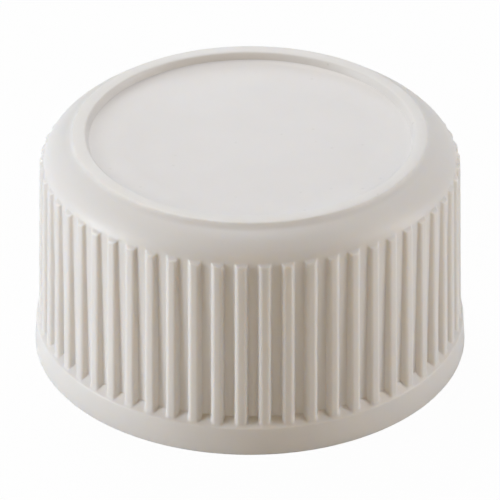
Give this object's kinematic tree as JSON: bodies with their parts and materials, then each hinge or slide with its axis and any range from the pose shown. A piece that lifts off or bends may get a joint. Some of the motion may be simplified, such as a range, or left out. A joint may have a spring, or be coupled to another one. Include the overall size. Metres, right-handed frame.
{
  "type": "septum screw cap",
  "caption": "Ribbed moulded screw cap with a flared rim and a low ring round a wide window, which a rubber septum held inside the cap fills.",
  "frame": {"origin": "centre of the rim's plane, on the cap's axis", "axes": "+Z along the cap's axis, from the open rim to the window"},
  "size_m": [0.043, 0.043, 0.0233],
  "materials": {
    "cap_plastic": "satin, as moulded",
    "septum_rubber": "smooth satin white"
  },
  "bodies": {
    "root": {"cap_shell": "cap_plastic", "septum": "septum_rubber"}
  },
  "joints": []
}
